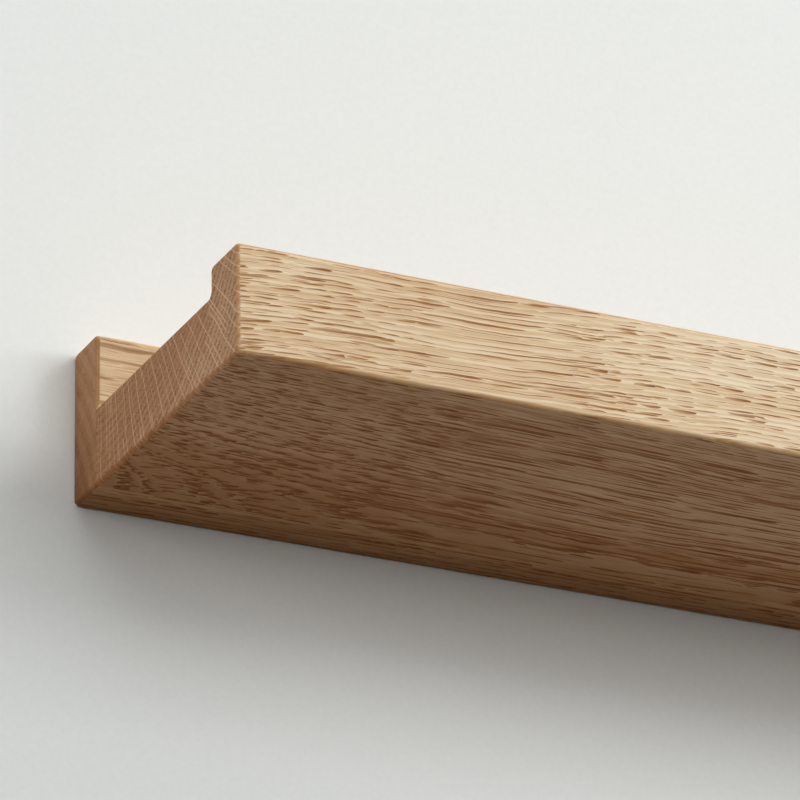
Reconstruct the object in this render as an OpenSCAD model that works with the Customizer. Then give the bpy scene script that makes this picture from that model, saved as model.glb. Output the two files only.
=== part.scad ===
// Picture ledge in solid oak: an upright rear board, a tray board whose front lip is milled
// from the same piece, the beech dowels that join them, and two flush keyhole hanger plates
// with their screws in the rear face.
//
// Millimetres. +Z is up, +X runs along the ledge, +Y points out of the rear face to the wall.
// The origin is the middle of the rear face. Heights in the sizes below count from the
// underside, and depths count from the rear face towards the room.

/* [Ledge] */
// Length from end to end
ledge_l = 600; // [500:10:1200]
// Depth from the wall to the front of the lip
ledge_d = 103; // [85:1:150]

/* [Rear board] */
// Height of the rear board, which is the height of the ledge
rear_h = 43; // [41:1:80]
// Thickness of the rear board
rear_t = 15; // [14:0.5:25]

/* [Tray board] */
// Thickness of the tray under the pictures
tray_t = 22; // [18:0.5:26]
// Height of the front lip above the underside
lip_h = 30; // [28:0.5:38]
// Thickness of the front lip
lip_t = 16; // [10:0.5:22]

/* [Roundings] */
// Radius of the sanded outer arrises
arris_r = 1.3; // [0.6:0.1:2]
// Radius of the rear board's two top arrises
rear_top_r = 2; // [1:0.1:3]
// Radius of the lip's inner top arris
lip_inner_r = 2; // [1:0.1:3]
// Radius of the cove where the lip rises from the tray
cove_r = 1.5; // [0.5:0.1:3]

/* [Dowels] */
// Number of dowels
dowel_count = 6; // [3:1:10]
// Distance from the ledge's end to the nearest dowel
dowel_end = 40; // [25:1:80]
// Diameter of a dowel
dowel_d = 6; // [5:0.5:8]
// Length of a dowel
dowel_l = 30; // [24:1:40]
// Length of a dowel that sits in the rear board
dowel_in_rear = 9; // [7:0.5:10]
// Chamfer on a dowel's ends
dowel_chamfer = 0.8; // [0.3:0.1:1.2]
// Clearance around a dowel in its hole
dowel_fit = 0.05; // [0.03:0.01:0.15]
// Room for glue at the bottom of each dowel hole
dowel_glue_gap = 0.5; // [0.2:0.1:1]

/* [Hanger plates] */
// Distance from the ledge's end to the middle of the nearest plate
hanger_end = 100; // [50:10:160]
// Length of a plate along the ledge
plate_l = 50; // [44:1:70]
// Height of a plate
plate_h = 23; // [21:1:26]
// Thickness of a plate
plate_t = 1.6; // [1.4:0.1:2]
// Corner radius of a plate
plate_corner_r = 3; // [1:0.5:5]
// Wood left between a plate and the top of the rear board
plate_top_margin = 3.5; // [2.5:0.5:4]
// How far a plate lies below the rear face
plate_inset = 0.2; // [0.1:0.1:0.5]
// Clearance between a plate and its pocket
plate_fit = 0.15; // [0.05:0.05:0.4]

/* [Keyholes] */
// Diameter of the round hole that a wall screw's head enters
entry_d = 10; // [9:0.5:11]
// Width of the slot that the wall screw's shank moves up
slot_w = 5; // [4.2:0.1:5.5]
// How far the screw moves up from the round hole
slot_rise = 7.5; // [6:0.5:9]
// Distance of the round hole's centre below the plate's middle
entry_drop = 4.5; // [4:0.5:5]
// Room around a wall screw's head in the cavity behind the plate
head_clearance = 0.75; // [0.25:0.25:1]
// Depth of the cavity behind the plate
head_room = 5; // [4.6:0.2:6]

/* [Plate screws] */
// Distance between the two screws of a plate
screw_spacing = 38; // [34:1:40]
// Outer diameter of a screw's thread
screw_d = 3; // [2.5:0.1:3.5]
// Length of a screw
screw_l = 12; // [8:1:12]
// Diameter of a screw's countersunk head
screw_head_d = 5.6; // [5.2:0.1:6]
// Clearance around a screw's shank and head
screw_fit = 0.1; // [0.05:0.05:0.15]
// Length of a screw's point
screw_point_l = 2.4; // [1.5:0.1:3]
// Diameter of the blunt end of the point
screw_point_d = 0.4; // [0.2:0.1:0.8]
// Width across the cross recess
recess_span = 2.8; // [2:0.1:3.2]
// Width of one arm of the cross recess
recess_w = 0.7; // [0.4:0.1:1]
// Depth of the cross recess
recess_depth = 1.1; // [0.6:0.1:1.4]

/* [Hidden] */
$fn = 64;
// Overlap that lets a cut pass cleanly through a face
cut_past = 1;
oak = [0.78, 0.61, 0.41];
beech = [0.87, 0.75, 0.58];
zinc = [0.72, 0.73, 0.75];
yellow_zinc = [0.78, 0.68, 0.42];

dowel_pitch = (ledge_l - 2 * dowel_end) / (dowel_count - 1);
dowel_z = tray_t / 2;
dowel_rear_end = rear_t - dowel_in_rear;
dowel_names = [for (i = [1:dowel_count]) str("dowel_", i)];

plate_x = ledge_l / 2 - hanger_end;
plate_z = rear_h - plate_top_margin - plate_h / 2;
pocket_depth = plate_inset + plate_t;
entry_z = plate_z - entry_drop;
screw_head_h = (screw_head_d - screw_d) / 2;

// Puts a piece drawn with its underside at zero height into the ledge's own frame
module set_down() {
    translate([0, 0, -rear_h / 2]) children();
}

// Turns a drawing of depth across and height up into a bar along the ledge
module along_ledge(length) {
    rotate([90, 0, 90]) linear_extrude(length, center = true) children();
}

// Turns a drawing of length across and height up into a plate of the given thickness,
// whose wall side lies at the given depth below the rear face
module facing_wall(depth, thickness) {
    translate([0, -depth, 0]) rotate([90, 0, 0]) linear_extrude(thickness) children();
}

// The waste that is sanded off a right corner at the origin, seen end on.
// The wood lies towards +X and +Y
module corner_waste(r) {
    difference() {
        translate([-cut_past, -cut_past]) square(r + cut_past);
        translate([r, r]) circle(r);
    }
}

// The waste along an upright end edge, from the origin up
module upright_waste(height) {
    linear_extrude(height) corner_waste(arris_r);
}

// The waste along a level end edge that runs from the origin towards the room
module level_waste(depth) {
    rotate([90, 0, 0]) linear_extrude(depth) corner_waste(arris_r);
}

// Draws its children at both ends of the ledge, as if the wood began at zero length
module both_ends() {
    for (side = [0, 1]) {
        mirror([side, 0, 0]) translate([-ledge_l / 2, 0, 0]) children();
    }
}

module rear_section() {
    difference() {
        translate([-rear_t, 0]) square([rear_t, rear_h]);
        mirror([1, 0]) corner_waste(arris_r);
        translate([0, rear_h]) rotate(180) corner_waste(rear_top_r);
        translate([-rear_t, rear_h]) mirror([0, 1]) corner_waste(rear_top_r);
    }
}

module tray_section() {
    difference() {
        union() {
            translate([-ledge_d, 0]) square([ledge_d - rear_t, tray_t]);
            translate([-ledge_d, 0]) square([lip_t, lip_h]);
        }
        translate([-ledge_d, 0]) corner_waste(arris_r);
        translate([-ledge_d, lip_h]) mirror([0, 1]) corner_waste(arris_r);
        translate([lip_t - ledge_d, lip_h]) rotate(180) corner_waste(lip_inner_r);
    }
}

module cove_section() {
    translate([lip_t - ledge_d, tray_t]) difference() {
        translate([-cove_r, -cove_r]) square(2 * cove_r);
        translate([cove_r, cove_r]) circle(cove_r);
    }
}

module round_rectangle(length, height, r) {
    for (side = [-1, 1], level = [-1, 1]) {
        translate([side * (length / 2 - r), level * (height / 2 - r)]) circle(r);
    }
    square([length - 2 * r, height], center = true);
    square([length, height - 2 * r], center = true);
}

// A round hole of diameter lower_d with a slot of width slot_d rising from its centre
module keyhole(lower_d, slot_d) {
    translate([0, entry_z]) {
        circle(d = lower_d);
        translate([0, slot_rise]) circle(d = slot_d);
        translate([-slot_d / 2, 0]) square([slot_d, slot_rise]);
    }
}

// Draws its children where each dowel lies, with +Z along the dowel towards the room
module at_dowel(i) {
    x = dowel_end - ledge_l / 2 + (i - 1) * dowel_pitch;
    translate([x, -dowel_rear_end, dowel_z]) rotate([90, 0, 0]) children();
}

// Draws its children at a plate's screws, with +Z from the plate's face into the wood
module at_plate_screws() {
    for (side = [-1, 1]) {
        translate([side * screw_spacing / 2, -plate_inset, plate_z]) rotate([90, 0, 0])
            children();
    }
}

module dowel_holes() {
    for (i = [1:dowel_count]) {
        at_dowel(i) translate([0, 0, -dowel_glue_gap])
            cylinder(h = dowel_l + 2 * dowel_glue_gap, d = dowel_d + 2 * dowel_fit);
    }
}

// The pocket for a plate, the cavity for the wall screw's head and the two pilot holes
module plate_pocket() {
    cavity_d = entry_d + 2 * head_clearance;
    facing_wall(-cut_past, pocket_depth + cut_past) translate([0, plate_z])
        round_rectangle(plate_l + 2 * plate_fit, plate_h + 2 * plate_fit,
            plate_corner_r + plate_fit);
    facing_wall(-cut_past, pocket_depth + head_room + cut_past) keyhole(cavity_d, cavity_d);
    at_plate_screws() cylinder(h = screw_l + screw_fit, d = screw_d + 2 * screw_fit);
}

module rear_board() {
    color(oak) set_down() difference() {
        along_ledge(ledge_l) rear_section();
        both_ends() {
            mirror([0, 1, 0]) translate([0, 0, -cut_past]) upright_waste(rear_h + 2 * cut_past);
            translate([0, cut_past, 0]) level_waste(rear_t + cut_past);
            translate([0, cut_past, rear_h]) mirror([0, 0, 1]) level_waste(rear_t + 2 * cut_past);
            translate([0, -rear_t, tray_t]) upright_waste(rear_h - tray_t + cut_past);
        }
        for (side = [-1, 1]) {
            translate([side * plate_x, 0, 0]) plate_pocket();
        }
        dowel_holes();
    }
}

// The cove ends where the sanded end arrises begin
module tray_board() {
    lip_back = ledge_d - lip_t;
    color(oak) set_down() difference() {
        union() {
            difference() {
                along_ledge(ledge_l) tray_section();
                both_ends() {
                    translate([0, -rear_t, 0]) level_waste(ledge_d - rear_t + cut_past);
                    translate([0, -rear_t, tray_t]) mirror([0, 0, 1])
                        level_waste(lip_back - rear_t);
                    translate([0, -ledge_d, -cut_past]) upright_waste(lip_h + 2 * cut_past);
                    translate([0, -lip_back, tray_t]) mirror([0, 1, 0])
                        upright_waste(lip_h - tray_t + cut_past);
                    translate([0, cut_past - lip_back, lip_h]) mirror([0, 0, 1])
                        level_waste(lip_t + 2 * cut_past);
                }
            }
            along_ledge(ledge_l - 2 * arris_r) cove_section();
        }
        dowel_holes();
    }
}

module dowel(i) {
    color(beech) set_down() at_dowel(i) {
        cylinder(h = dowel_chamfer, d1 = dowel_d - 2 * dowel_chamfer, d2 = dowel_d);
        translate([0, 0, dowel_chamfer]) cylinder(h = dowel_l - 2 * dowel_chamfer, d = dowel_d);
        translate([0, 0, dowel_l - dowel_chamfer])
            cylinder(h = dowel_chamfer, d1 = dowel_d, d2 = dowel_d - 2 * dowel_chamfer);
    }
}

module hanger_plate(side) {
    hole_d = screw_d + 2 * screw_fit;
    color(zinc) set_down() translate([side * plate_x, 0, 0]) difference() {
        facing_wall(plate_inset, plate_t) translate([0, plate_z])
            round_rectangle(plate_l, plate_h, plate_corner_r);
        facing_wall(plate_inset - cut_past, plate_t + 2 * cut_past) keyhole(entry_d, slot_w);
        at_plate_screws() {
            cylinder(h = screw_head_h, d1 = screw_head_d + 2 * screw_fit, d2 = hole_d);
            translate([0, 0, -cut_past]) cylinder(h = plate_t + 2 * cut_past, d = hole_d);
        }
    }
}

module plate_screw() {
    shank_l = screw_l - screw_head_h - screw_point_l;
    difference() {
        union() {
            cylinder(h = screw_head_h, d1 = screw_head_d, d2 = screw_d);
            translate([0, 0, screw_head_h]) cylinder(h = shank_l, d = screw_d);
            translate([0, 0, screw_head_h + shank_l])
                cylinder(h = screw_point_l, d1 = screw_d, d2 = screw_point_d);
        }
        for (turn = [0, 90]) {
            rotate(turn) translate([-recess_span / 2, -recess_w / 2, -cut_past])
                cube([recess_span, recess_w, recess_depth + cut_past]);
        }
    }
}

module plate_screws(side) {
    color(yellow_zinc) set_down() translate([side * plate_x, 0, 0])
        at_plate_screws() plate_screw();
}

rear_board();
tray_board();
for (i = [1:dowel_count]) {
    dowel(i);
}
hanger_plate(-1);  // hanger_plate_left
hanger_plate(1);  // hanger_plate_right
plate_screws(-1);  // plate_screws_left
plate_screws(1);  // plate_screws_right
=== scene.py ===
# %% [markdown]
# # A picture ledge in solid oak, dressed for its portrait
#
# The real ledge is two pieces of oak: an upright rear board, and a tray board whose front lip
# is milled from the same plank. Beech dowels join them, and two keyhole plates let into the
# rear face hang the ledge on a wall. This script puts bevelled, grained and fluted pieces
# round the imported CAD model, which it loads first as a fixed frame.

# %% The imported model
import math
import bmesh
import bpy
from mathutils import Matrix, Vector


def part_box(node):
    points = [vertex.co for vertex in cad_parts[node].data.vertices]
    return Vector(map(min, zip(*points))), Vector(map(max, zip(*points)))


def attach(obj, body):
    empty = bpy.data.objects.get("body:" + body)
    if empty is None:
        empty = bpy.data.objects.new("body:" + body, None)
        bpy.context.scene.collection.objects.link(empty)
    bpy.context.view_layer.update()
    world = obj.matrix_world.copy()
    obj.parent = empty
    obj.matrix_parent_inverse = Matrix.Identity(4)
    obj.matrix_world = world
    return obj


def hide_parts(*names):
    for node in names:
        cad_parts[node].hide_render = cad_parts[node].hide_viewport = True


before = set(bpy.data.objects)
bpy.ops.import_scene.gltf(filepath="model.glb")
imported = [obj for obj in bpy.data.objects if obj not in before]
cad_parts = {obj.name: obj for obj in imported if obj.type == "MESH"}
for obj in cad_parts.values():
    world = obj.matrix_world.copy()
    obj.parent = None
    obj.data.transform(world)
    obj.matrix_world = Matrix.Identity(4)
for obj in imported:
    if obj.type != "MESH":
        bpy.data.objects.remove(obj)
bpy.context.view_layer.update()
MM = 0.001

# %% Sizes, in millimetres, as in the CAD source
LEDGE_L, LEDGE_D = 600.0, 103.0
REAR_H, REAR_T = 43.0, 15.0
TRAY_T, LIP_H, LIP_T = 22.0, 30.0, 16.0
ARRIS_R, REAR_TOP_R, LIP_INNER_R, COVE_R = 1.3, 2.0, 2.0, 1.5
UNDERSIDE = -REAR_H / 2
TRAY_TOP = UNDERSIDE + TRAY_T
LIP_TOP = UNDERSIDE + LIP_H

# %% [markdown]
# ## The camera
#
# The photograph looks up at the left end from below, through a long lens. Twelve edge lines
# of the ledge were measured on it, and the lens, place and turn below fit them to about half
# a pixel. A camera could be aimed with a Track To constraint, but a measured view has a roll
# too, so its three axes are written straight into its matrix.

# %% The camera
def linked(name, data):
    """A new object in the scene, unmoved and unturned."""
    thing = bpy.data.objects.new(name, data)
    bpy.context.collection.objects.link(thing)
    return thing


CAMERA_PLACE = Vector((-0.84038, -1.30247, -0.63364))
YAW, PITCH, ROLL = [math.radians(turn) for turn in (25.9673, 24.4734, -1.0364)]
ahead = Vector((math.sin(YAW) * math.cos(PITCH), math.cos(YAW) * math.cos(PITCH),
                math.sin(PITCH)))
sideways = Vector((math.cos(YAW), -math.sin(YAW), 0))
upward = sideways.cross(ahead)
right = sideways * math.cos(ROLL) + upward * math.sin(ROLL)
top = upward * math.cos(ROLL) - sideways * math.sin(ROLL)

lens = bpy.data.cameras.new("view_from_below")
lens.sensor_width = 36
lens.lens = 268.84
camera = linked("view_from_below", lens)
camera_axes = Matrix((right, top, -ahead)).transposed().to_4x4()
camera.matrix_world = Matrix.Translation(CAMERA_PLACE) @ camera_axes
bpy.context.scene.camera = camera
bpy.context.scene.view_settings.view_transform = "Standard"
print("lens", lens.lens, "mm, camera", round(CAMERA_PLACE.length, 3), "m from the ledge")

# %% [markdown]
# ## Nodes as Python sums
#
# Finishes and Geometry Nodes trees are both made of nodes. A tree that is wired by hand in
# the editor is hard to read back, so here a small class wraps a socket, and an ordinary sum
# such as `1 - band * 0.4` adds the Math nodes. Every other node comes from one method.

# %% Sums on sockets
def sum_of(operation, swapped=False):
    def act(self, other):
        first, second = (other, self) if swapped else (self, other)
        return self.bench.add("ShaderNodeMath", {"operation": operation}, {0: first, 1: second})
    return act


class Wire:
    """One output of a node. Sums with it add Math nodes."""

    def __init__(self, bench, socket):
        self.bench = bench
        self.socket = socket

    __add__, __radd__ = sum_of("ADD"), sum_of("ADD", True)
    __sub__, __rsub__ = sum_of("SUBTRACT"), sum_of("SUBTRACT", True)
    __mul__, __rmul__ = sum_of("MULTIPLY"), sum_of("MULTIPLY", True)
    __truediv__, __rtruediv__ = sum_of("DIVIDE"), sum_of("DIVIDE", True)
    __pow__ = sum_of("POWER")
    at_least, at_most = sum_of("MAXIMUM"), sum_of("MINIMUM")
    modulo = sum_of("MODULO")
    over = sum_of("GREATER_THAN")
    angle_to = sum_of("ARCTAN2")

    def of(self, operation):
        return self.bench.add("ShaderNodeMath", {"operation": operation}, {0: self})

    def other(self, output):
        """Another output of the same node."""
        return Wire(self.bench, self.socket.node.outputs[output])


# %% The bench
class Bench:
    """A node tree under construction."""

    def __init__(self, tree):
        self.tree = tree

    def add(self, kind, settings=None, inputs=None, output=0):
        node = self.tree.nodes.new(kind)
        for name, value in (settings or {}).items():
            if name == "stops":
                fill_ramp(node.color_ramp, value)
            elif name == "points":
                fill_curve(node.mapping, value)
            else:
                setattr(node, name, value)
        for name, value in (inputs or {}).items():
            self.feed(node.inputs[name], value)
        return Wire(self, node.outputs[output])

    def feed(self, socket, value):
        if isinstance(value, Wire):
            self.tree.links.new(value.socket, socket)
        elif isinstance(value, (list, tuple)) and value and isinstance(value[0], Wire):
            for wire in value:
                self.tree.links.new(wire.socket, socket)
        else:
            socket.default_value = value

    def vector(self, operation, first, second, output=0):
        inputs = {0: first, 1: second}
        return self.add("ShaderNodeVectorMath", {"operation": operation}, inputs, output)

    def times(self, first, second):
        return self.vector("MULTIPLY", first, second)

    def scaled(self, vector, size):
        inputs = {0: vector, "Scale": size}
        return self.add("ShaderNodeVectorMath", {"operation": "SCALE"}, inputs)

    def combine(self, x, y, z):
        return self.add("ShaderNodeCombineXYZ", None, {0: x, 1: y, 2: z})

    def moved(self, geometry, place):
        inputs = {"Geometry": geometry, "Position": place}
        return self.add("GeometryNodeSetPosition", None, inputs)

    def split(self, vector):
        first = self.add("ShaderNodeSeparateXYZ", None, {0: vector})
        return [Wire(self, socket) for socket in first.socket.node.outputs]

    def fade(self, value, start, end):
        """0 on the far side of start and 1 on that of end. Either may be the higher."""
        limits = {"Value": value, 1: start, 2: end}
        return self.add("ShaderNodeMapRange", {"interpolation_type": "SMOOTHSTEP"}, limits)

    def blend(self, under, over, share, mode="MIX"):
        settings = {"data_type": "RGBA", "blend_type": mode}
        return self.add("ShaderNodeMix", settings, {0: share, 6: under, 7: over}, 2)

    def noise(self, where, scale=1.0, detail=2.0, roughness=0.5, output=0):
        sizes = {"Vector": where, "Scale": scale, "Detail": detail, "Roughness": roughness}
        return self.add("ShaderNodeTexNoise", None, sizes, output)

    def cells(self, where, scale=1.0, randomness=1.0):
        sizes = {"Vector": where, "Scale": scale, "Randomness": randomness}
        return self.add("ShaderNodeTexVoronoi", None, sizes)


def fill_ramp(ramp, stops):
    while len(ramp.elements) < len(stops):
        ramp.elements.new(0.5)
    for element, (place, colour) in zip(ramp.elements, stops):
        element.position = place
        element.color = (*colour, 1)


def fill_curve(mapping, points):
    line = mapping.curves[0]
    while len(line.points) < len(points):
        line.points.new(0.5, 0.5)
    for point, place in zip(line.points, points):
        point.location = place
    mapping.update()


# %% A new finish
def new_finish(name):
    """A material with its bench, its shader node and the object coordinates in millimetres."""
    material = bpy.data.materials.new(name)
    material.use_nodes = True
    bench = Bench(material.node_tree)
    shader = material.node_tree.nodes["Principled BSDF"]
    place = bench.add("ShaderNodeTexCoord", output="Object")
    return material, bench, shader, bench.scaled(place, 1 / MM)


def coat(bench, shader, colour, rough, relief, strength, distance=0.0001):
    """Colour, roughness, and relief too fine for the mesh. The distance is in metres."""
    bench.feed(shader.inputs["Base Color"], colour)
    bench.feed(shader.inputs["Roughness"], rough)
    bump = {"Strength": strength, "Distance": distance, "Height": relief}
    bench.feed(shader.inputs["Normal"], bench.add("ShaderNodeBump", None, bump))


# %% [markdown]
# ## Oak
#
# Oak is ring-porous. Each year's ring starts with a band of wide pores, which show as dots on
# the end grain and as brown dashes along the sides, and goes on in dense, paler wood. Broad
# rays run outwards from the pith as thin pale lines. An image wrapped round the board would
# break at every edge, so the wood here is one solid field in space: a pith line that bends
# through the log, rings round it, pores along it and rays out of it. The board's faces only
# show where they cut that field, which is why the dashes are short where the grain dives
# into a face and long where it runs level with it.

# %% The log: rings, angle and fibre at every point
# The most that a pith line wanders, in mm
SWAY = 20.0

# How quickly each noise changes per millimetre, along the board and across it
DRIFT_NOISE = (1 / 70, 1 / 26, 1 / 26)
WAVE_NOISE = (1 / 10, 1 / 4, 1 / 4)
FIBRE_NOISE = (1 / 14, 1 / 0.3, 1 / 0.3)
PATCH_NOISE = (1 / 60, 1 / 9, 1 / 9)


def log_field(bench, place, cut):
    """Where a point lies in the log that the board was sawn from."""
    x, y, z = bench.split(place)
    # 0 at the left end and 1 at the right one
    along = (x + LEDGE_L / 2) / LEDGE_L

    def line(name, size=1.0):
        return bench.add("ShaderNodeFloatCurve", {"points": cut[name]}, {"Value": along}) * size

    # The pith line wanders along the board
    drift = bench.noise(bench.times(place, DRIFT_NOISE), output="Color")
    drift_y, drift_z = bench.split(drift)[1:]
    across = y - cut["pith"][0] - line("sway_y", SWAY) + (drift_y - 0.5) * cut["drift"]
    height = z - cut["pith"][1] - line("sway_z", SWAY) + (drift_z - 0.5) * cut["drift"]
    fibre = bench.combine(x, across, height)
    waves = bench.noise(bench.times(fibre, WAVE_NOISE), output="Color")
    waves = bench.vector("SUBTRACT", waves, (0.5, 0.5, 0.5))
    waves = bench.times(waves, (0, cut["waves"], cut["waves"]))
    wavy = bench.vector("ADD", fibre, waves)
    wavy_y, wavy_z = bench.split(wavy)[1:]

    # Rings round the pith, some years wider than others
    from_pith = bench.times(wavy, (0, 1, 1))
    radius = bench.vector("LENGTH", from_pith, (0, 0, 0), "Value")
    weather = bench.add("ShaderNodeTexNoise", {"noise_dimensions": "1D"},
                        {"W": radius / 5.5, "Detail": 1.0})
    rings = radius / cut["ring"] + weather * 1.3
    return {"x": x, "y": y, "z": z, "line": line, "fibre": fibre, "wavy": wavy, "radius": radius,
            "angle": wavy_z.angle_to(wavy_y), "spoke": height.angle_to(across), "rings": rings}


# %% Streaks: long slender lenses in rows along the rings
def streaks(bench, log, cut, number, swell):
    """Halo and dark heart of the open pores. number counts the streaks along the board."""
    turn = log["angle"] * (100 / cut["group"])
    row = log["rings"] + 0.25
    # Each row starts elsewhere, so that ends don't line up
    start = row.of("FLOOR") * 0.618 + turn.of("FLOOR") * 0.37
    spread = bench.combine(number + start, turn, row)
    near = bench.cells(spread, randomness=0.55)
    chance = bench.split(near.other("Color"))[0]
    off = bench.vector("SUBTRACT", spread, near.other("Position"))
    off_x, off_turn, off_ring = bench.split(off)
    # Thin and pale where the pore comes up, blunt and dark at its far end
    lens_shape = (off_x + 0.62).at_least(0) * (0.48 - off_x).at_least(0).of("SQRT")
    body = lens_shape * (chance * 0.7 + 1.85) * swell
    away = (off_ring * off_ring * cut["thin"] + off_turn * off_turn * cut["wide"]).of("SQRT")
    tail = (0.6 + off_x * 1.2).at_least(0).at_most(1)
    halo = bench.fade(away, body, body * 0.7)
    heart = bench.fade(away, body * 0.65, body * 0.25) * tail
    return halo * (0.6 + tail * 0.4), heart


# %% Short and long streaks
def open_pores(bench, log, cut, inner, level):
    """Halo and heart: short streaks in some stretches of the board, long ones in the others."""
    swell = 1 + inner * cut["under"]
    short, short_heart = streaks(bench, log, cut, log["x"] / cut["short"], swell)
    long, long_heart = streaks(bench, log, cut, log["x"] / cut["long"], swell)
    line = log["line"]
    share = (line("long_front") * (1 - inner) + line("long_under") * inner) * (1 - level * 0.6)
    few, many = (2 - share * 2).at_most(1), (share * 2).at_most(1)
    halo = (short * few).at_least(long * many)
    return halo, (short_heart * few).at_least(long_heart * many)


# %% Rays: thin sheets that run out from the pith
def ray_sheets(bench, log):
    spread = bench.combine(log["x"] / 15, log["spoke"] * 34, log["radius"] / 30)
    sheet = bench.cells(spread)
    off = bench.vector("SUBTRACT", spread, sheet.other("Position"))
    off_x, off_turn = bench.split(off)[:2]
    slender = (1 - off_x * off_x * 2.5).at_least(0.1)
    return bench.fade(off_turn.of("ABSOLUTE"), slender * 0.08, slender * 0.035)


# %% Which way the surface faces
def facing_shares(bench):
    """Shares of end grain and sanded arris, and how level the surface lies."""
    normal = bench.add("ShaderNodeNewGeometry", output="Normal")
    facing = [part.of("ABSOLUTE") for part in bench.split(normal)]
    squarely = facing[0].at_least(facing[1]).at_least(facing[2])
    return bench.fade(facing[0], 0.08, 0.45), bench.fade(squarely, 0.995, 0.88), facing[2]


# %% Oak
def oak(name, cut):
    """Solid oak. cut says where the board was sawn from the log, and its own colours."""
    material, bench, shader, place = new_finish(name)
    log = log_field(bench, place, cut)
    y, z, line, wavy = [log[key] for key in ("y", "z", "line", "wavy")]
    ends, arris, flat = facing_shares(bench)
    sides = (1 - ends) * (1 - arris * 0.6)

    # Each year's early wood. The end grain shows only the widest years
    seasons = [(log["rings"] * share).of("FRACT") for share in (1, 0.45)]
    early_side, early_end = [bench.fade(season, 0.0, 0.2) * bench.fade(season, 0.8, 0.4)
                             for season in seasons]
    early = early_side * (1 - ends) + early_end * ends

    # The front's open pores differ from those further in
    inner = bench.fade(y, 2 - LEDGE_D, 11 - LEDGE_D)
    level = flat * cut["level"]
    halo, heart = open_pores(bench, log, cut, inner, level)

    # Single pores: dots on the end grain, short scratches along the sides
    slim = bench.times(wavy, (1 / 7, 1 / cut["pore"], 1 / cut["pore"]))
    pore = bench.fade(bench.cells(slim), 0.6, 0.25)

    # Fine fibre, and patches of paler and darker wood
    fine = bench.noise(bench.times(wavy, FIBRE_NOISE), detail=3.0)
    patch = bench.noise(bench.times(log["fibre"], PATCH_NOISE))

    # Darker nearer the pith line, like the wood near a log's heart. This also paints the shade
    # that the wall throws on the rear of the tray's underside and on the foot of the rear board
    heartwood_and_shade = bench.fade(log["radius"], *cut["heartwood_and_shade"])
    shade = line("tone") + heartwood_and_shade * line("heart") + early * cut["bands"]
    shade = shade + (patch - 0.5) * 0.8 + (fine - 0.5) * 0.75
    ground = bench.add("ShaderNodeValToRGB", {"stops": cut["ground"]}, {"Fac": shade}, "Color")
    broken = bench.fade(fine, 0.3, 0.55)
    streak = halo * (0.7 + broken * 0.3 + inner * 0.2) * (1 + level) * cut["pores"] * sides
    coloured = bench.blend(ground, (*cut["streak"], 1), streak)
    dark = heart * (0.7 + pore * 0.3) * (1 + level) * cut["pores"] * sides
    coloured = bench.blend(coloured, (*cut["dark"], 1), dark * 0.9)

    # End grain drinks in more oil, so it is darker, and its rays show pale
    coloured = bench.blend(coloured, (*cut["end"], 1), ends, "MULTIPLY")
    dots = pore * (0.25 + early * 0.75) * ends * (1 - arris)
    coloured = bench.blend(coloured, (*cut["dot"], 1), dots * cut["dots"])
    rays = ray_sheets(bench, log) * ends * cut["rays"]
    coloured = bench.blend(coloured, (*cut["ray"], 1), rays)

    # The arrises are darkened to a golden brown: partly to match the streaked wood beside them,
    # and partly as painted shade, the look of a rounded edge between a lit face and a shaded one
    arris_tone_and_shade = arris * (1 - ends * 0.3)
    coloured = bench.blend(coloured, (0.80, 0.66, 0.50, 1), arris_tone_and_shade, "MULTIPLY")

    # The glue line shows only as a hair line near the tray
    near_tray = bench.fade(z, TRAY_TOP - 12.5, TRAY_TOP - 2.5)
    seam = bench.fade((y + REAR_T).of("ABSOLUTE"), 0.3, 0.05) * near_tray
    coloured = bench.blend(coloured, (0.55, 0.5, 0.46, 1), seam * 0.7, "MULTIPLY")

    rough = 0.60 + (fine - 0.5) * 0.2 + dark * 0.15
    relief = ((fine - 0.5) * 0.6 - dark - dots * 0.5) * (1 - arris)
    coat(bench, shader, coloured, rough, relief, 0.12)
    shader.inputs["Specular IOR Level"].default_value = 0.27
    print(name, "has", len(material.node_tree.nodes), "nodes")
    return material


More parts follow.
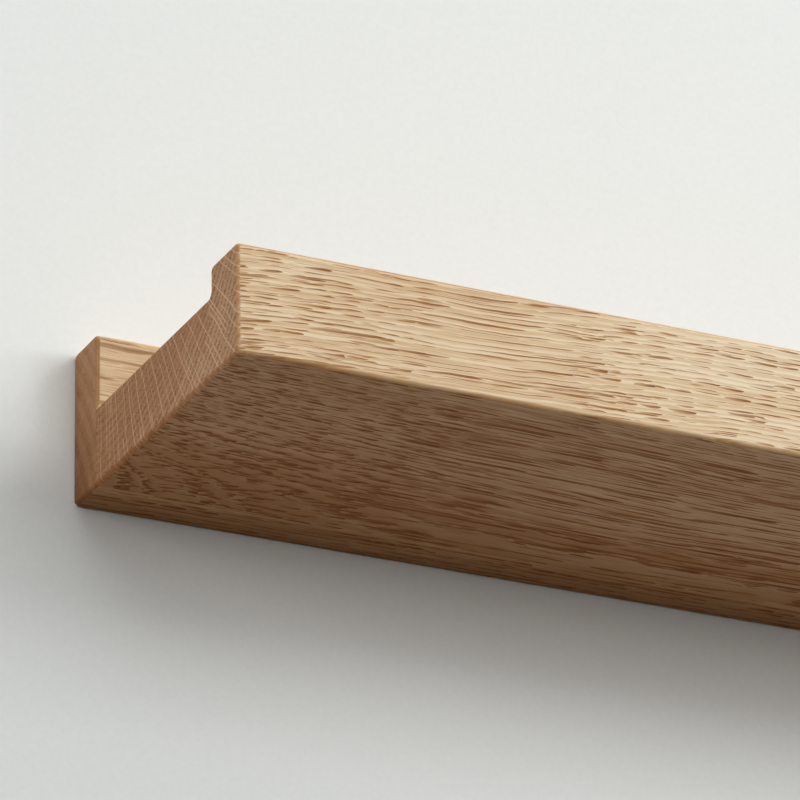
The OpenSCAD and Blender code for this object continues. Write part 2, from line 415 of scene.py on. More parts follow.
# %% Where the two boards were sawn
# Lists of pairs are curves along the board, from 0 at its left end to 1 at its right one
TRAY_CUT = {
    # The pith line's place (y, z) in mm and its wandering, and the ring width in mm
    "pith": (-23.7, 75.0),
    "sway_y": [(0, 0.42), (0.1, 0.33), (0.27, 0.44), (0.5, 0.30), (0.7, 0.45), (0.85, 0.55),
               (1, 0.40)],
    "sway_z": [(0, 0), (0.083, 0.18), (0.167, 0.24), (0.267, 0.27), (0.5, 0.13),
               (0.75, 0.33), (1, 0.15)],
    "drift": 3.0,
    "waves": 0.55,
    "ring": 1.0,
    # Where short streaks give way to long ones, on the front and underneath
    "long_front": [(0, 0.35), (0.08, 0.4), (0.1, 1), (0.145, 1), (0.175, 0), (0.28, 0.1),
                   (0.4, 0.8), (0.5, 0.2), (0.62, 0.9), (0.75, 0.1), (0.9, 0.8), (1, 0.3)],
    "long_under": [(0, 0), (0.09, 0.1), (0.13, 0.8), (0.3, 1), (0.4, 0.2), (0.55, 0.9),
                   (0.7, 0.1), (0.85, 0.8), (1, 0.2)],
    # The streaks' lengths in mm, how slim they are, and how much more there is of them
    # underneath and on the level faces
    "short": 8.5,
    "long": 32.0,
    "group": 0.9,
    "thin": 22.0,
    "wide": 2.4,
    "under": 0.6,
    "level": 0.0,
    # Shares of the streaks, of the dots and rays on the end grain, and a pore's width in mm
    "pores": 1.0,
    "dots": 0.8,
    "rays": 0.7,
    "pore": 0.6,
    # Tone: 0 is pale wood and 1 dark. The darkening near the pith line, wood tone and painted
    # shade from the wall, starts between two radii in mm
    "tone": [(0, 0.24), (0.15, 0.24), (0.2, 0.08), (0.3, 0.06), (0.5, 0.24), (0.7, 0.12),
             (1, 0.24)],
    "heartwood_and_shade": (112.0, 94.0),
    "heart": [(0, 0.6), (0.12, 0.75), (0.22, 1), (0.5, 1), (1, 1)],
    "bands": 0.42,
    # Colours
    "ground": [(0.0, (0.785, 0.655, 0.465)), (0.45, (0.672, 0.497, 0.302)),
               (1.0, (0.515, 0.315, 0.152))],
    "streak": (0.33, 0.125, 0.016),
    "dark": (0.115, 0.04, 0.008),
    "dot": (0.17, 0.066, 0.024),
    "ray": (0.92, 0.68, 0.50),
    "end": (0.92, 0.78, 0.71),
}
REAR_CUT = {
    **TRAY_CUT,
    "pith": (90.0, -75.0),
    "sway_y": [(0, 0.5), (0.25, 0.42), (0.5, 0.6), (0.75, 0.5), (1, 0.65)],
    "sway_z": [(0, 0.5), (0.2, 0.42), (0.4, 0.5), (0.7, 0.4), (1, 0.55)],
    "waves": 0.5,
    "ring": 2.2,
    "long_front": [(0, 0.8), (1, 0.8)],
    "long_under": [(0, 0.8), (1, 0.8)],
    "group": 2.2,
    "thin": 90.0,
    "wide": 1.2,
    "level": 0.9,
    "pores": 0.55,
    "dots": 0.3,
    "rays": 0.1,
    "tone": [(0, 0.08), (1, 0.08)],
    # Darker near the pith line at the foot of the board: wood tone and painted shade from the wall
    "heartwood_and_shade": (134.0, 110.0),
    "heart": [(0, 0.9), (1, 0.9)],
    "bands": 0.2,
    "ground": [(0.0, (0.88, 0.69, 0.44)), (0.5, (0.68, 0.48, 0.27)), (1.0, (0.44, 0.255, 0.11))],
    "end": (0.61, 0.47, 0.38),
}
oak_tray = oak("oak_tray", TRAY_CUT)
oak_rear = oak("oak_rear", REAR_CUT)

# %% [markdown]
# ## The boards
#
# Both boards are one section carried along the whole length, with every edge sanded round. A
# Bevel modifier could round them, but it would also round the glued edges, which are sharp.
# So a Geometry Nodes tree lays rings of the section along the ledge. Towards each end the
# rings draw in along the arrow stored on each point of the section, and a glued edge has no
# arrow across the seam.

# %% Rounded sections
def rounded_section(corners, steps=8):
    """Points (y, z) of a closed outline and, for each, the arrow along which an end draws in.

    A corner is (y, z, radius) or, where it stays sharp, (y, z, 0, arrow).
    """
    points, arrows = [], []
    for i, (y, z, radius, *arrow) in enumerate(corners):
        here = Vector((y, z))
        if not radius:
            points.append(here)
            arrows.append(Vector(arrow[0]))
            continue
        back = (Vector(corners[i - 1][:2]) - here).normalized()
        on = (Vector(corners[(i + 1) % len(corners)][:2]) - here).normalized()
        centre = here + (back + on) * radius
        hollow = back.x * on.y - back.y * on.x > 0
        for step in range(steps + 1):
            turn = math.pi / 2 * step / steps
            spoke = -(on * math.cos(turn) + back * math.sin(turn))
            points.append(centre + spoke * radius)
            arrows.append(spoke if hollow else -spoke)
    return points, arrows


tray_section = rounded_section([
    (-LEDGE_D, UNDERSIDE, ARRIS_R),
    (-REAR_T, UNDERSIDE, 0, (0, 1)),
    (-REAR_T, TRAY_TOP, 0, (0, -1)),
    (LIP_T - LEDGE_D, TRAY_TOP, COVE_R),
    (LIP_T - LEDGE_D, LIP_TOP, LIP_INNER_R),
    (-LEDGE_D, LIP_TOP, ARRIS_R),
])
# The sanding of the rear board's front edge runs out at the tray: (mm above it, share)
run_out = [(2.1, 1.0), (1.4, 0.85), (0.7, 0.55), (0, 0.28), (-0.7, 0.1), (-1.3, 0.0)]
rear_section = rounded_section([
    (-REAR_T, UNDERSIDE, 0, (0, 1)),
    (0, UNDERSIDE, ARRIS_R),
    (0, -UNDERSIDE, REAR_TOP_R),
    (-REAR_T, -UNDERSIDE, REAR_TOP_R),
    *[(-REAR_T, TRAY_TOP + rise, 0, (share, 0)) for rise, share in run_out],
])
print("section points:", len(tray_section[0]), "tray,", len(rear_section[0]), "rear")


# %% The tree that carries a section
# Points nearer than these, in metres, are made one
DOUBLES, SLIVER = 0.000002, 0.000001


def named_inputs(tree, sockets):
    for label, kind in sockets.items():
        tree.interface.new_socket(label, in_out="INPUT", socket_type="NodeSocket" + kind)
    tree.interface.new_socket("Result", in_out="OUTPUT", socket_type="NodeSocketGeometry")
    bench = Bench(tree)
    source = tree.nodes.new("NodeGroupInput")
    return bench, {label: Wire(bench, source.outputs[label]) for label in sockets}


def end_tree(bench, geometry, gap, material):
    """Closes the seams and leaves a plain mesh. Every tree ends in these nodes."""
    merge = {"Geometry": geometry, "Distance": gap}
    closed = bench.add("GeometryNodeMergeByDistance", None, merge)
    real = bench.add("GeometryNodeRealizeInstances", None, {0: closed})
    painted = bench.add("GeometryNodeSetMaterial", None, {"Geometry": real, "Material": material})
    result = bench.tree.nodes.new("NodeGroupOutput")
    bench.feed(result.inputs[0], painted)


def counted_grid(bench, columns, rows):
    """A grid, and for each of its points the numbers of its column and its row."""
    grid = bench.add("GeometryNodeMeshGrid", None, {"Vertices X": columns, "Vertices Y": rows})
    index = bench.add("GeometryNodeInputIndex")
    row = index.modulo(float(rows))
    return grid, (index - row) / float(rows), row


def milled_board_tree(steps=8):
    tree = bpy.data.node_groups.new("milled_board", "GeometryNodeTree")
    bench, given = named_inputs(tree, {
        "Section": "Geometry", "Length": "Float", "Arris": "Float", "Finish": "Material"})
    size = {"component": "MESH"}
    count = bench.add("GeometryNodeAttributeDomainSize", size, {"Geometry": given["Section"]})
    grid, column, ring = counted_grid(bench, count + 1, 2 * steps + 2)
    point = column.modulo(count)

    place = bench.add("GeometryNodeInputPosition")
    arrow = bench.add("GeometryNodeInputNamedAttribute", {"data_type": "FLOAT_VECTOR"},
                      {"Name": "arrow"})
    pick = {"data_type": "FLOAT_VECTOR"}
    section = given["Section"]
    here = bench.add("GeometryNodeSampleIndex", pick, {0: section, 1: place, 2: point})
    inward = bench.add("GeometryNodeSampleIndex", pick, {0: section, 1: arrow, 2: point})

    # The first rings turn the left arris and the others the right one
    far = ring.over(steps + 0.5)
    stage = far * (ring - float(steps + 1)) + (1 - far) * (float(steps) - ring)
    turn = stage * (math.pi / 2 / steps)
    reach = given["Length"] / 2 - given["Arris"] + given["Arris"] * turn.of("SINE")
    drawn = bench.scaled(inward, given["Arris"] * (1 - turn.of("COSINE")))
    along = bench.combine(reach * (far * 2 - 1), 0, 0)
    settled = bench.vector("ADD", bench.vector("ADD", here, drawn), along)

    # Each end is the section drawn in by a whole arris, filled flat
    parts = [bench.moved(grid, settled)]
    for side in (-1, 1):
        flat = bench.vector("ADD", place, bench.scaled(arrow, given["Arris"]))
        flat_y, flat_z = bench.split(flat)[1:]
        lying = bench.moved(section, bench.combine(flat_y, flat_z, 0))
        rim = bench.add("GeometryNodeMeshToCurve", None, {"Mesh": lying})
        cap = bench.add("GeometryNodeFillCurve", {"mode": "NGONS"}, {"Curve": rim})
        cap_y, cap_z = bench.split(place)[:2]
        upright = bench.combine(given["Length"] * (side / 2), cap_y, cap_z)
        parts.append(bench.moved(cap, upright))
    whole = bench.add("GeometryNodeJoinGeometry", None, {0: parts})
    end_tree(bench, whole, DOUBLES, given["Finish"])
    return tree


# %% Running a tree
def bake(piece, modifier):
    """Puts a modifier's result into the mesh and takes the modifier off."""
    shaped = piece.evaluated_get(bpy.context.evaluated_depsgraph_get())
    result = bpy.data.meshes.new_from_object(shaped)
    piece.modifiers.remove(modifier)
    piece.data = result


def grown(name, tree, inputs, start=None):
    """The result of a Geometry Nodes tree as a plain mesh object with its normals outwards."""
    piece = linked(name, start or bpy.data.meshes.new(name))
    modifier = piece.modifiers.new("tree", "NODES")
    modifier.node_group = tree
    sockets = {item.name: item.identifier for item in tree.interface.items_tree
               if item.in_out == "INPUT"}
    for label, value in inputs.items():
        modifier[sockets[label]] = value
    bake(piece, modifier)
    mesh = piece.data
    # The start mesh leaves an empty slot, whose faces would come out grey
    mesh.materials.clear()
    mesh.materials.append(inputs["Finish"])
    mesh.polygons.foreach_set("material_index", [0] * len(mesh.polygons))
    mend(mesh)
    return piece


def mend(mesh):
    """Merges doubles, drops slivers, turns the faces outwards and prints the volume."""
    bm = bmesh.new()
    bm.from_mesh(mesh)
    bmesh.ops.remove_doubles(bm, verts=bm.verts, dist=DOUBLES)
    bmesh.ops.dissolve_degenerate(bm, dist=SLIVER, edges=bm.edges)
    bmesh.ops.recalc_face_normals(bm, faces=bm.faces)
    if bm.calc_volume(signed=True) < 0:
        bmesh.ops.reverse_faces(bm, faces=bm.faces)
    for face in bm.faces:
        face.smooth = True
    open_edges = sum(not edge.is_manifold for edge in bm.edges)
    print(mesh.name, "faces", len(bm.faces), "open edges", open_edges,
          "volume", round(bm.calc_volume() / MM ** 3), "mm3")
    bm.to_mesh(mesh)
    bm.free()


# %% Two plain boards
def section_mesh(name, section):
    mesh = bpy.data.meshes.new(name)
    points, arrows = section
    ring = [(i, (i + 1) % len(points)) for i in range(len(points))]
    mesh.from_pydata([(0, p.x * MM, p.y * MM) for p in points], ring, [])
    stored = mesh.attributes.new("arrow", "FLOAT_VECTOR", "POINT")
    for item, arrow in zip(stored.data, arrows):
        item.vector = (0, arrow.x, arrow.y)
    return mesh


board_tree = milled_board_tree()
boards = {}
for name, section, finish in (("tray_board", tray_section, oak_tray),
                              ("rear_board", rear_section, oak_rear)):
    sizes = {"Length": LEDGE_L * MM, "Arris": ARRIS_R * MM, "Finish": finish}
    boards[name] = grown(name + "_oak", board_tree, sizes, section_mesh(name, section))

# %% [markdown]
# ## Holes and pockets
#
# The dowel holes, the plate pockets and the pilot holes are made as in the workshop: a cutter
# of each shape is held in place and taken away with a Boolean modifier.

# %% Sizes of the joints and hangers
DOWELS, DOWEL_END, DOWEL_D, DOWEL_L = 6, 40.0, 6.0, 30.0
DOWEL_IN_REAR, DOWEL_FIT, DOWEL_GAP, DOWEL_CHAMFER = 9.0, 0.05, 0.5, 0.8
DOWEL_Z = UNDERSIDE + TRAY_T / 2
DOWEL_START = REAR_T - DOWEL_IN_REAR
HANGER_END = 100.0
HANGERS = {"left": HANGER_END - LEDGE_L / 2, "right": LEDGE_L / 2 - HANGER_END}
PLATE_L, PLATE_H, PLATE_T, PLATE_R = 50.0, 23.0, 1.6, 3.0
PLATE_MARGIN, PLATE_INSET, PLATE_FIT = 3.5, 0.2, 0.15
PLATE_Z = -UNDERSIDE - PLATE_MARGIN - PLATE_H / 2
ENTRY_D, ENTRY_DROP, SLOT_W, SLOT_RISE = 10.0, 4.5, 5.0, 7.5
ENTRY_Z = PLATE_Z - ENTRY_DROP
HEAD_CLEARANCE, HEAD_ROOM = 0.75, 5.0
SCREW_X, SCREW_D, SCREW_L, SCREW_HEAD_D, SCREW_FIT = 19.0, 3.0, 12.0, 5.6, 0.1


# %% Outlines in the plane of the wall
def arc(middle, radius, start, end, steps):
    """Points on an arc, in degrees from +X towards +Z."""
    turns = [math.radians(start + (end - start) * i / steps) for i in range(steps + 1)]
    return [(middle[0] + radius * math.cos(t), middle[1] + radius * math.sin(t)) for t in turns]


def round_rectangle(middle, length, height, radius, steps=10):
    points = []
    for side, rise, start in ((1, 1, 0), (-1, 1, 90), (-1, -1, 180), (1, -1, 270)):
        corner = (middle[0] + side * (length / 2 - radius),
                  middle[1] + rise * (height / 2 - radius))
        points += arc(corner, radius, start, start + 90, steps)
    return points


def keyhole(x, lower_d, slot_d):
    """A round hole with a slot that rises from it."""
    meet = math.degrees(math.asin(slot_d / lower_d))
    upper = arc((x, ENTRY_Z + SLOT_RISE), slot_d / 2, 0, 180, 24)
    lower = arc((x, ENTRY_Z), lower_d / 2, 90 + meet, 450 - meet, 48)
    # With a slot as wide as the hole the two arcs share a point
    return upper + lower[(1 if meet >= 89.9 else 0):]


# %% Cutters
def add_prism(bm, outline, nearest, deepest):
    """A closed block with an outline in the wall's plane, between two depths."""
    rims = [[bm.verts.new((x * MM, -depth * MM, z * MM)) for x, z in outline]
            for depth in (nearest, deepest)]
    bm.faces.new(rims[0])
    bm.faces.new(list(reversed(rims[1])))
    for i in range(len(outline)):
        j = (i + 1) % len(outline)
        bm.faces.new((rims[0][j], rims[0][i], rims[1][i], rims[1][j]))


def mesh_from(bm, name):
    mesh = bpy.data.meshes.new(name)
    bm.to_mesh(mesh)
    bm.free()
    return mesh


def take_away(piece, bm):
    """Cuts the closed blocks that a bmesh holds out of a piece."""
    bmesh.ops.recalc_face_normals(bm, faces=bm.faces)
    cutter = linked("cutter", mesh_from(bm, "cutter"))
    modifier = piece.modifiers.new("cut", "BOOLEAN")
    modifier.operation = "DIFFERENCE"
    modifier.solver = "EXACT"
    modifier.object = cutter
    bake(piece, modifier)
    bpy.data.objects.remove(cutter)


def cut_from(piece, blocks):
    """Takes blocks, each (outline, nearest depth, deepest depth), away from a piece."""
    for block in blocks:
        bm = bmesh.new()
        add_prism(bm, *block)
        take_away(piece, bm)


# %% Drilling and routing
def circle(x, z, diameter, steps=48):
    return arc((x, z), diameter / 2, 0, 360 * (steps - 1) / steps, steps - 1)


dowel_places = [DOWEL_END - LEDGE_L / 2 + i * (LEDGE_L - 2 * DOWEL_END) / (DOWELS - 1)
                for i in range(DOWELS)]
near = DOWEL_START - DOWEL_GAP
far = DOWEL_START + DOWEL_L + DOWEL_GAP
holes = [(circle(x, DOWEL_Z, DOWEL_D + 2 * DOWEL_FIT), near, far) for x in dowel_places]
cut_from(boards["tray_board"], holes)
cut_from(boards["rear_board"], holes)
pocket_depth = PLATE_INSET + PLATE_T
cavity_d = ENTRY_D + 2 * HEAD_CLEARANCE
for x in HANGERS.values():
    pocket = round_rectangle((x, PLATE_Z), PLATE_L + 2 * PLATE_FIT,
                             PLATE_H + 2 * PLATE_FIT, PLATE_R + PLATE_FIT)
    blocks = [(pocket, -1, pocket_depth),
              (keyhole(x, cavity_d, cavity_d), -1, pocket_depth + HEAD_ROOM)]
    for side in (-SCREW_X, SCREW_X):
        pilot = circle(x + side, PLATE_Z, SCREW_D + 2 * SCREW_FIT)
        blocks.append((pilot, -1, PLATE_INSET + SCREW_L + SCREW_FIT))
    cut_from(boards["rear_board"], blocks)
for board in boards.values():
    mend(board.data)


# %% [markdown]
# Flat faces next to small roundings shade badly when every normal is averaged, because the
# rounding's tilt bleeds over the flat. The Weighted Normal modifier lets the large flat faces
# win, and sharp edges, such as the rim of a pocket, are marked first.

# %% Clean shading
def clean_shading(piece, sharp=35):
    bm = bmesh.new()
    bm.from_mesh(piece.data)
    for edge in bm.edges:
        if len(edge.link_faces) == 2 and edge.calc_face_angle(0) > math.radians(sharp):
            edge.smooth = False
    bm.to_mesh(piece.data)
    bm.free()
    weights = piece.modifiers.new("weights", "WEIGHTED_NORMAL")
    weights.keep_sharp = True
    weights.weight = 80


def settle(piece, node):
    """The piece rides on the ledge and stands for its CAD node."""
    clean_shading(piece)
    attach(piece, "root")
    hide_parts(node)
    cad_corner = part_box(node)[0]
    corner = [min(vertex.co[axis] for vertex in piece.data.vertices) for axis in range(3)]
    gap = max(abs(corner[axis] - cad_corner[axis]) for axis in range(3))
    print(piece.name, "low corner is within", round(gap / MM, 3), "mm of the CAD node's")


for name, board in boards.items():
    settle(board, name)

# %% [markdown]
# ## Beech dowels
#
# Glued dowels are pressed with flutes along them, so that the glue spreads and the air gets
# out of the hole. A grid is rolled up into a closed bar: its first and last rows shrink to a
# point, and the radius of the others follows the chamfer and the flutes.

# %% Beech
def beech():
    material, bench, shader, place = new_finish("beech_dowel")
    rays = bench.cells(bench.times(place, (2.2, 0.45, 2.2)))
    fleck = bench.fade(rays, 0.22, 0.1) * 0.6
    fibre = bench.noise(bench.times(place, (3.0, 0.12, 3.0)), detail=3.0)
    stops = [(0.3, (0.72, 0.53, 0.36)), (0.7, (0.62, 0.42, 0.26))]
    ground = bench.add("ShaderNodeValToRGB", {"stops": stops}, {"Fac": fibre}, "Color")
    flecked = bench.blend(ground, (0.45, 0.27, 0.15, 1), fleck)
    coat(bench, shader, flecked, 0.6 + fibre * 0.1, fibre, 0.3)
    return material


# %% Rolled-up grids
TURNED = {"Middle X": "Float", "Middle Z": "Float", "Depth": "Float", "Length": "Float",
          "Finish": "Material"}


def flat_grid(bench, given, around, rows):
    """A grid, and for each point its turn in radians, its depth, and 0 if it lies on the axis."""
    grid, column, row = counted_grid(bench, around + 1, rows)
    turn = column * (2 * math.pi / around)
    step = (row - 1).at_least(0).at_most(float(rows - 3))
    depth = step * given["Length"] / float(rows - 3)
    off_axis = row.over(0.5) * (1 - row.over(rows - 1.5))
    return grid, turn, depth, off_axis


def roll_up(bench, given, grid, turn, depth, radius):
    """Rolls the grid up round its middle, with the axis running into the wood."""
    x = given["Middle X"] + radius * turn.of("COSINE")
    z = given["Middle Z"] + radius * turn.of("SINE")
    placed = bench.combine(x, 0 - given["Depth"] - depth, z)
    end_tree(bench, bench.moved(grid, placed), SLIVER, given["Finish"])


# %% The dowel tree
def dowel_tree(around=72, rows=41):
    tree = bpy.data.node_groups.new("fluted_dowel", "GeometryNodeTree")
    bench, given = named_inputs(tree, {
        **TURNED, "Diameter": "Float", "Chamfer": "Float", "Flutes": "Float",
        "Flute Depth": "Float"})
    grid, turn, depth, off_axis = flat_grid(bench, given, around, rows)
    full = given["Diameter"] / 2
    chamfered = full.at_most(full - given["Chamfer"] + depth)
    chamfered = chamfered.at_most(full - given["Chamfer"] + given["Length"] - depth)
    groove = (turn * given["Flutes"]).of("COSINE").at_least(0) ** 2
    radius = chamfered.at_most(full - given["Flute Depth"] * groove)
    roll_up(bench, given, grid, turn, depth, radius * off_axis)
    return tree


FLUTES, FLUTE_DEPTH = 18.0, 0.22
beech_finish = beech()
fluted = dowel_tree()
for i, x in enumerate(dowel_places, 1):
    sizes = {"Middle X": x * MM, "Middle Z": DOWEL_Z * MM, "Depth": DOWEL_START * MM,
             "Length": DOWEL_L * MM, "Diameter": DOWEL_D * MM, "Chamfer": DOWEL_CHAMFER * MM,
             "Flutes": FLUTES, "Flute Depth": FLUTE_DEPTH * MM, "Finish": beech_finish}
    settle(grown(f"dowel_{i}_beech", fluted, sizes), f"dowel_{i}")

# %% [markdown]
# ## Keyhole plates
#
# The plates are stamped from zinc-plated steel, so the edges on the punch side are rounded
# over and those on the other side are nearly sharp. A Bevel modifier would treat both sides
# alike. Each edge is drawn instead as a stack of outlines, each a little deeper and a little
# wider than the one before, and the two faces are filled between the stacks.

# %% Zinc plating
def plating(name, tint, tint_2, rough, spangle):
    """Zinc between two tints. spangle is the size of its crystals in mm."""
    material, bench, shader, place = new_finish(name)
    crystals = bench.cells(place, 1 / spangle)
    tone = bench.split(crystals.other("Color"))[0]
    cloud = bench.noise(place, 0.22, 3.0, 0.6)
    rolled = bench.noise(bench.times(place, (0.25, 1, 6.0)), 1.0, 3.0, 0.6)
    mix = (tone - 0.5) * 0.25 + (cloud - 0.5) * 0.9 + 0.5
    colour = bench.blend((*tint, 1), (*tint_2, 1), mix)
    rough = rough + (cloud - 0.5) * 0.16 + (tone - 0.5) * 0.08
    coat(bench, shader, colour, rough, rolled + tone * 0.2, 0.25, 0.00004)
    shader.inputs["Metallic"].default_value = 1.0
    return material


zinc_finish = plating("zinc_plate", (0.66, 0.68, 0.71), (0.50, 0.52, 0.56), 0.36, 0.9)
yellow_finish = plating("yellow_zinc", (0.80, 0.66, 0.38), (0.60, 0.55, 0.42), 0.30, 0.5)


# %% Stamped edges
# Even the sharp side is broken by a trace, in mm
TRACE = 0.08


def moved_outline(points, offset):
    """An outline with every point pushed out square to its neighbours by the offset."""
    result = []
    for i, (x, z) in enumerate(points):
        before, after = Vector(points[i - 1]), Vector(points[(i + 1) % len(points)])
        along = (after - before).normalized()
        result.append((x + along.y * offset, z - along.x * offset))
    return result


def stack(bm, outline, profile):
    """Loops of vertices for one edge. The profile is pairs of depth and offset."""
    loops = []
    for depth, offset in profile:
        ring = moved_outline(outline, offset)
        loops.append([bm.verts.new((x * MM, -depth * MM, z * MM)) for x, z in ring])
    for upper, lower in zip(loops, loops[1:]):
        for i in range(len(upper)):
            j = (i + 1) % len(upper)
            bm.faces.new((upper[i], upper[j], lower[j], lower[i]))
    return loops[0], loops[-1]


def edge_profile(rounding, sign, steps=4):
    """Depths and offsets of a stamped edge. sign is -1 round the plate and 1 in a hole."""
    back = PLATE_INSET + PLATE_T
    turns = [math.pi / 2 * i / steps for i in range(steps + 1)]
    rounded = [(PLATE_INSET + rounding * (1 - math.cos(turn)),
                sign * rounding * (1 - math.sin(turn))) for turn in turns]
    return rounded + [(back - TRACE, 0), (back, sign * TRACE)]


# %% Keyhole plates
EDGE_R, HOLE_EDGE_R = 0.3, 0.25
# A countersunk hole, as depths and offsets
SINK = (SCREW_HEAD_D - SCREW_D) / 2
SUNK_HOLE = [(PLATE_INSET, SINK + 0.08), (PLATE_INSET + 0.05, SINK), (PLATE_INSET + SINK, 0),
             (PLATE_INSET + PLATE_T - 0.06, 0), (PLATE_INSET + PLATE_T, 0.06)]


def keyhole_plate(name, x):
    bm = bmesh.new()
    plate = round_rectangle((x, PLATE_Z), PLATE_L, PLATE_H, PLATE_R)
    rims = [stack(bm, plate, edge_profile(EDGE_R, -1)),
            stack(bm, keyhole(x, ENTRY_D, SLOT_W), edge_profile(HOLE_EDGE_R, 1))]
    for side in (-SCREW_X, SCREW_X):
        hole = circle(x + side, PLATE_Z, SCREW_D + 2 * SCREW_FIT)
        rims.append(stack(bm, hole, SUNK_HOLE))
    for face, way in ((0, 1), (1, -1)):
        edges = []
        for rim in rims:
            loop = rim[face]
            edges += [bm.edges.get((loop[i], loop[(i + 1) % len(loop)])) for i in range(len(loop))]
        bmesh.ops.triangle_fill(bm, edges=edges, use_beauty=True, normal=(0, way, 0))
    mesh = mesh_from(bm, name)
    mesh.materials.append(zinc_finish)
    mend(mesh)
    return linked(name, mesh)


for side, x in HANGERS.items():
    settle(keyhole_plate(f"hanger_plate_{side}_zinc", x), f"hanger_plate_{side}")

# %% [markdown]
# ## Screws
#
# A screw is turned like a dowel, but its radius also follows the thread, which climbs one
# pitch for each turn. The whole screw is one rolled-up grid: head, countersink, core, thread
# and point. Its cross recess is cut afterwards with tapered blades.

# %% The screw tree
def screw_tree(around=40, rows=125):
    tree = bpy.data.node_groups.new("wood_screw", "GeometryNodeTree")
    bench, given = named_inputs(tree, {
        **TURNED, "Thread": "Float", "Core": "Float", "Head": "Float", "Pitch": "Float",
        "Point": "Float"})
    grid, turn, depth, off_axis = flat_grid(bench, given, around, rows)
    winding = (depth / given["Pitch"] - turn / (2 * math.pi) + 4.0).of("FRACT")
    ridge = (1 - (winding - 0.5).of("ABSOLUTE") * 5).at_least(0)
    start = bench.fade(depth, 2.0 * MM, 3.2 * MM)
    core = given["Core"] / 2
    shank = core + (given["Thread"] / 2 - core) * ridge * start
    # The point ends in a blunt tip
    point = (given["Length"] - depth) * (given["Thread"] / given["Point"] / 2) + 0.2 * MM
    radius = (given["Head"] / 2 - depth).at_least(shank.at_most(point))
    roll_up(bench, given, grid, turn, depth, radius * off_axis)
    return tree


# %% The cross recess
RECESS_SPAN, RECESS_W, RECESS_DEPTH = 2.8, 0.7, 1.1


def add_blade(bm, x, z, along):
    """One tapered blade of the cross, from just above the head to its narrow foot."""
    out = (RECESS_SPAN / 2, RECESS_W / 2)
    foot = (RECESS_SPAN / 5, RECESS_W / 3)
    depths = (PLATE_INSET - 0.5, PLATE_INSET, PLATE_INSET + RECESS_DEPTH)
    rims = []
    for (reach, half), deep in zip((out, out, foot), depths):
        corners = ((-reach, -half), (reach, -half), (reach, half), (-reach, half))
        if along == "z":
            corners = [(-b, a) for a, b in corners]
        rims.append([bm.verts.new(((x + a) * MM, -deep * MM, (z + b) * MM)) for a, b in corners])
    bm.faces.new(rims[0])
    bm.faces.new(list(reversed(rims[-1])))
    for upper, lower in zip(rims, rims[1:]):
        for i in range(4):
            bm.faces.new((upper[(i + 1) % 4], upper[i], lower[i], lower[(i + 1) % 4]))


# %% Four screws
CORE_D, THREAD_PITCH, POINT_L = 2.1, 1.35, 2.4
threaded = screw_tree()
for side, middle in HANGERS.items():
    pair = bmesh.new()
    for x in (middle - SCREW_X, middle + SCREW_X):
        sizes = {"Middle X": x * MM, "Middle Z": PLATE_Z * MM, "Depth": PLATE_INSET * MM,
                 "Length": SCREW_L * MM, "Thread": SCREW_D * MM, "Core": CORE_D * MM,
                 "Head": SCREW_HEAD_D * MM, "Pitch": THREAD_PITCH * MM,
                 "Point": POINT_L * MM, "Finish": yellow_finish}
        screw = grown("screw", threaded, sizes)
        for along in ("x", "z"):
            blade = bmesh.new()
            add_blade(blade, x, PLATE_Z, along)
            take_away(screw, blade)
        pair.from_mesh(screw.data)
        bpy.data.objects.remove(screw)
    name = f"plate_screws_{side}"
    mesh = mesh_from(pair, name + "_zinc")
    mesh.materials.append(yellow_finish)
    mend(mesh)
    settle(linked(name + "_zinc", mesh), name)

# %% [markdown]
# ## The wall and the floor
#
# The ledge hangs on a pale painted wall. Seen from behind, the wall would hide the hanger
# plates, so its rear side lets the camera through. Its opening fits the ledge closely, and no
# light of the lamp behind it reaches the front. The floor is mostly a plain pale tone that
# only the camera and mirrors see, because a floor lit that brightly would throw its light
# back up at the ledge.

# %% Stage finishes
def seeing_rays(bench):
    """1 for rays from the camera, and 1 for those, rays off a mirror and rays through glass."""
    seen, mirrored, through = [bench.add("ShaderNodeLightPath", output=ray) for ray in
                               ("Is Camera Ray", "Is Glossy Ray", "Is Transmission Ray")]
    return seen, seen.at_least(mirrored).at_least(through)


def stage_finish(name, tint, grain, bounce, plain=0.0):
    """Paint in a tint that throws light back in the colour bounce. plain is a share of glow."""
    material, bench, shader, place = new_finish(name)
    mottle = bench.noise(place, grain, 3.0, 0.55)
    tints = [(0.3, [c * 0.985 for c in tint]), (0.7, [c * 1.015 for c in tint])]
    colour = bench.add("ShaderNodeValToRGB", {"stops": tints}, {"Fac": mottle}, "Color")
    spread = bench.add("ShaderNodeLightPath", output="Is Diffuse Ray")
    bench.feed(shader.inputs["Base Color"], bench.blend(colour, (*bounce, 1), spread))
    shader.inputs["Roughness"].default_value = 0.9
    shader.inputs["Specular IOR Level"].default_value = 0.15
    surface = Wire(bench, shader.outputs[0])
    seen, shown = seeing_rays(bench)
    if plain:
        glow = bench.add("ShaderNodeEmission", None, {"Color": (*tint, 1)})
        surface = bench.add("ShaderNodeMixShader", None, {0: shown * plain, 1: surface, 2: glow})
    clear = bench.add("ShaderNodeBsdfTransparent")
    behind = bench.add("ShaderNodeNewGeometry", output="Backfacing")
    surface = bench.add("ShaderNodeMixShader", None, {0: behind * seen, 1: surface, 2: clear})
    bench.feed(material.node_tree.nodes["Material Output"].inputs["Surface"], surface)
    return material


# %% Wall and floor
def sheet(name, corners, faces, finish):
    mesh = bpy.data.meshes.new(name)
    mesh.from_pydata(corners, [], faces)
    mesh.materials.append(finish)
    linked(name, mesh)


# The wall's place before the rear face in mm, and the floor's height in metres
WALL_IN, FLOOR_Z = 0.3, -1.05


def closed_in(radius):
    """How far a rounded edge lies inside the outline at the wall's depth."""
    return (radius - math.sqrt(radius ** 2 - (radius - WALL_IN) ** 2)) * MM


def four_corners(left, low, right, high):
    return [(left, low), (right, low), (right, high), (left, high)]


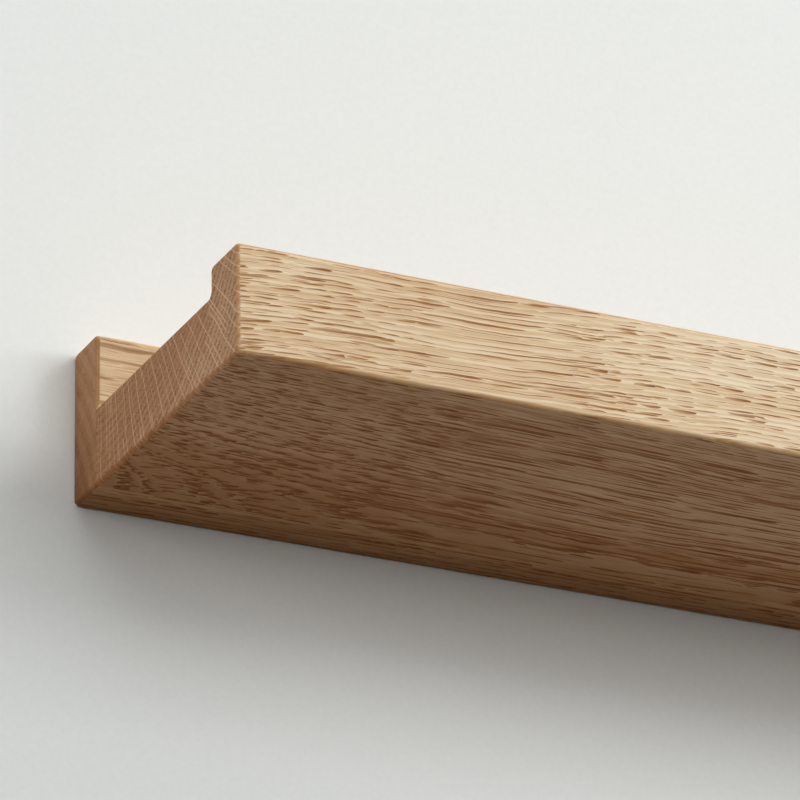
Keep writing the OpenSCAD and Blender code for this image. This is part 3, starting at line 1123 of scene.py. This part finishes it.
open_x = LEDGE_L / 2 * MM - closed_in(ARRIS_R)
open_low = UNDERSIDE * MM + closed_in(ARRIS_R)
open_high = REAR_H / 2 * MM - closed_in(REAR_TOP_R)
rims = four_corners(-1, -1.06, 1, 1.4) + four_corners(-open_x, open_low, open_x, open_high)
wall_points = [(x, -WALL_IN * MM, z) for x, z in rims]
wall_faces = [(i, (i + 1) % 4, 4 + (i + 1) % 4, 4 + i) for i in range(4)]
wall_paint = stage_finish("painted_wall", (0.785, 0.81, 0.79), 0.6, (0.605, 0.42, 0.315))
sheet("wall", wall_points, wall_faces, wall_paint)
floor_points = [(x, y, FLOOR_Z) for x, y in four_corners(-6, -8, 6, 6)]
floor_paint = stage_finish("pale_floor", (0.78, 0.775, 0.76), 0.01, (0.02, 0.015, 0.01), 0.85)
sheet("floor", floor_points, [(0, 1, 2, 3)], floor_paint)


# %% [markdown]
# ## Light
#
# The wall's brightness round the ledge tells where the photograph's light came from: mostly
# from a broad window-like area in front, about twenty degrees up and to the right, with a
# little from the left, below and above. So four lamps stand there for the window, and two
# dim ones fill the left end and the underside. One hangs right over the ledge for the tray,
# where it barely grazes the wall. A very broad one behind the wall lights the rear face. Bare
# metal would mirror it as a white patch, so mirrors don't see it.

# %% Lamps
# Where the lamps point, and how many metres off most of them stand
AIM, STAND_OFF = Vector((-0.2, 0, 0)), 2.6


def lamp(name, azimuth, elevation, distance, width, height, power):
    """An area lamp. Azimuth is from straight in front towards the right, in degrees."""
    turn, rise = math.radians(azimuth), math.radians(elevation)
    way = Vector((math.sin(turn) * math.cos(rise), -math.cos(turn) * math.cos(rise),
                  math.sin(rise)))
    light = bpy.data.lights.new(name, "AREA")
    light.shape = "RECTANGLE"
    light.size = width
    light.size_y = height
    light.energy = power
    holder = linked(name, light)
    turned = way.to_track_quat("Z", "Y").to_matrix().to_4x4()
    holder.matrix_world = Matrix.Translation(AIM + way * distance) @ turned
    holder.visible_camera = False
    return holder


for name, azimuth, elevation, width, height, power in (
        ("window_middle", 8, 21, 3.0, 0.8, 29.0),
        ("window_low", 8, 5, 3.0, 0.72, 8.5),
        ("window_right", 55, 8, 2.75, 0.8, 28.4),
        ("window_right_high", 60, 36, 2.3, 0.87, 22.0),
        ("fill_left", -65, 7, 1.9, 0.8, 11.7),
        ("fill_below", -20, -7, 1.9, 0.72, 7.6)):
    lamp(name, azimuth, elevation, STAND_OFF, width, height, power)
lamp("overhead", 0, 86, 1.8, 1.6, 0.24, 12)
behind = lamp("behind_wall", 176, 12, 1.6, 7.0, 2.6, 66)
behind.visible_glossy = False

world = bpy.data.worlds.new("pale_room")
bpy.context.scene.world = world
world.use_nodes = True
bench = Bench(world.node_tree)
background = world.node_tree.nodes["Background"]
shown = seeing_rays(bench)[1]
pale = bench.blend((0.9, 0.95, 1.0, 1), (0.88, 0.88, 0.86, 1), shown)
bench.feed(background.inputs["Color"], pale)
bench.feed(background.inputs["Strength"], 0.01 + shown * 0.94)
